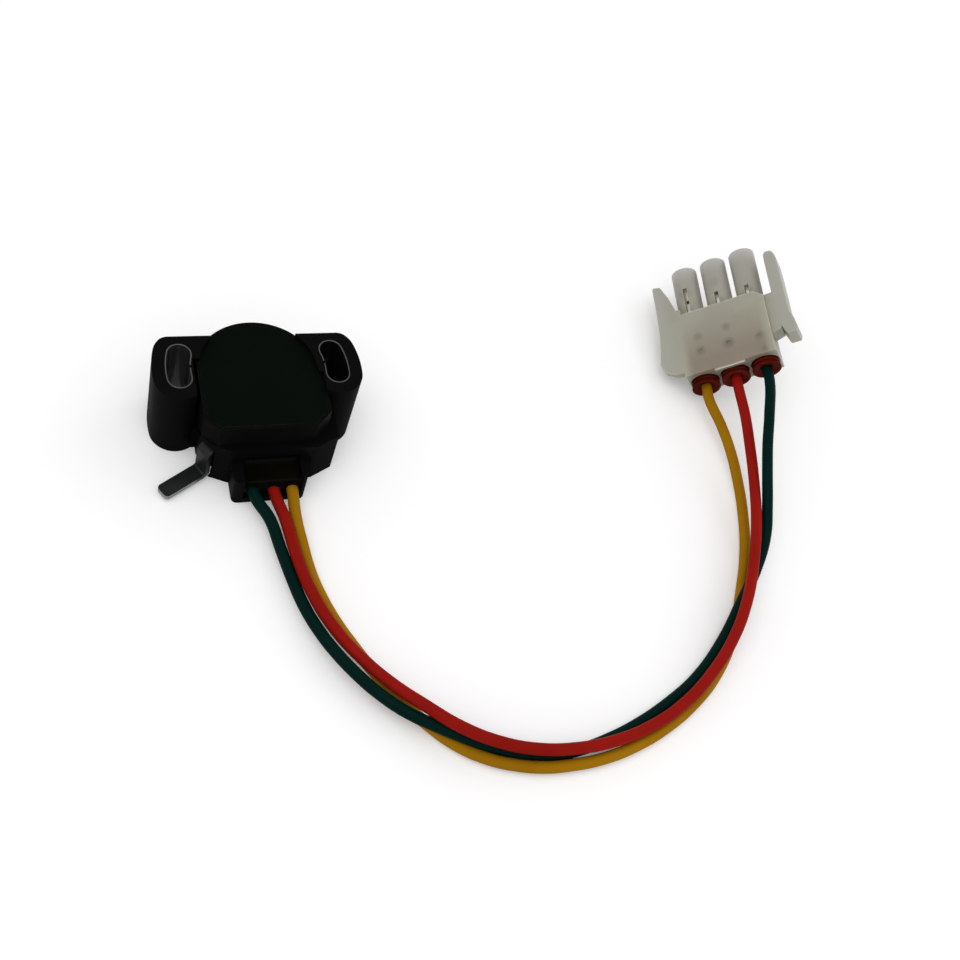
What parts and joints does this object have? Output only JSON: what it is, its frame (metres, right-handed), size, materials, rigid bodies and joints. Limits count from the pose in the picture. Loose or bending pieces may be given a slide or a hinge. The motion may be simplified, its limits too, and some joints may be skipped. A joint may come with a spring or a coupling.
{
  "type": "potentiometer",
  "caption": "Lever-type rotary potentiometer: round moulded body with slotted mounting ears, sprung steel lever, flying leads and an in-line plug.",
  "frame": {"origin": "on the rotor axis, in the mounting face under the body", "axes": "+Z along the rotor axis toward the cover, +X toward the right mounting ear, +Y away from the lead outlet"},
  "size_m": [0.1306, 0.1029, 0.0216],
  "materials": {
    "black_plastic": "black moulded plastic, slightly satin",
    "bright_steel": "rolled plated steel",
    "lever_steel": "plated steel strip with bright edges",
    "board": "laminate",
    "carbon_ink": "printed carbon track",
    "contact_metal": "contact alloy",
    "tinned_brass": "tin plated",
    "compound": "black sealing compound",
    "bronze": "sintered bronze",
    "acetal": "natural acetal",
    "spring_steel": "spring wire",
    "green_insulation": "dark green lead insulation",
    "red_insulation": "red lead insulation",
    "yellow_insulation": "yellow lead insulation",
    "natural_nylon": "natural nylon, slightly translucent",
    "red_rubber": "dark red silicone rubber"
  },
  "bodies": {
    "base": {"housing": "black_plastic", "cover": "black_plastic", "sleeve_left": "bright_steel", "sleeve_right": "bright_steel", "element_board": "board", "resistive_track": "carbon_ink", "collector_track": "contact_metal", "terminal_green": "tinned_brass", "terminal_red": "tinned_brass", "terminal_yellow": "tinned_brass", "potting": "compound", "bearing_bush": "bronze", "thrust_washer": "acetal", "return_spring": "spring_steel", "lead_green": "green_insulation", "lead_red": "red_insulation", "lead_yellow": "yellow_insulation", "plug_housing": "natural_nylon", "seal_left": "red_rubber", "seal_middle": "red_rubber", "seal_right": "red_rubber", "contact_left": "tinned_brass", "contact_middle": "tinned_brass", "contact_right": "tinned_brass"},
    "swing": {"rotor": "acetal", "lever": "lever_steel", "wiper_contact": "contact_metal"}
  },
  "joints": [
    {"name": "lever_turn", "type": "hinge", "parent": "base", "child": "swing", "pos_m": [0, 0, 0], "axis": [0, 0, 1], "range_deg": [-14, 0], "stiffness_Nm_per_rad": 0.02, "springref_deg": 34.38, "deforming": ["return_spring"]}
  ]
}
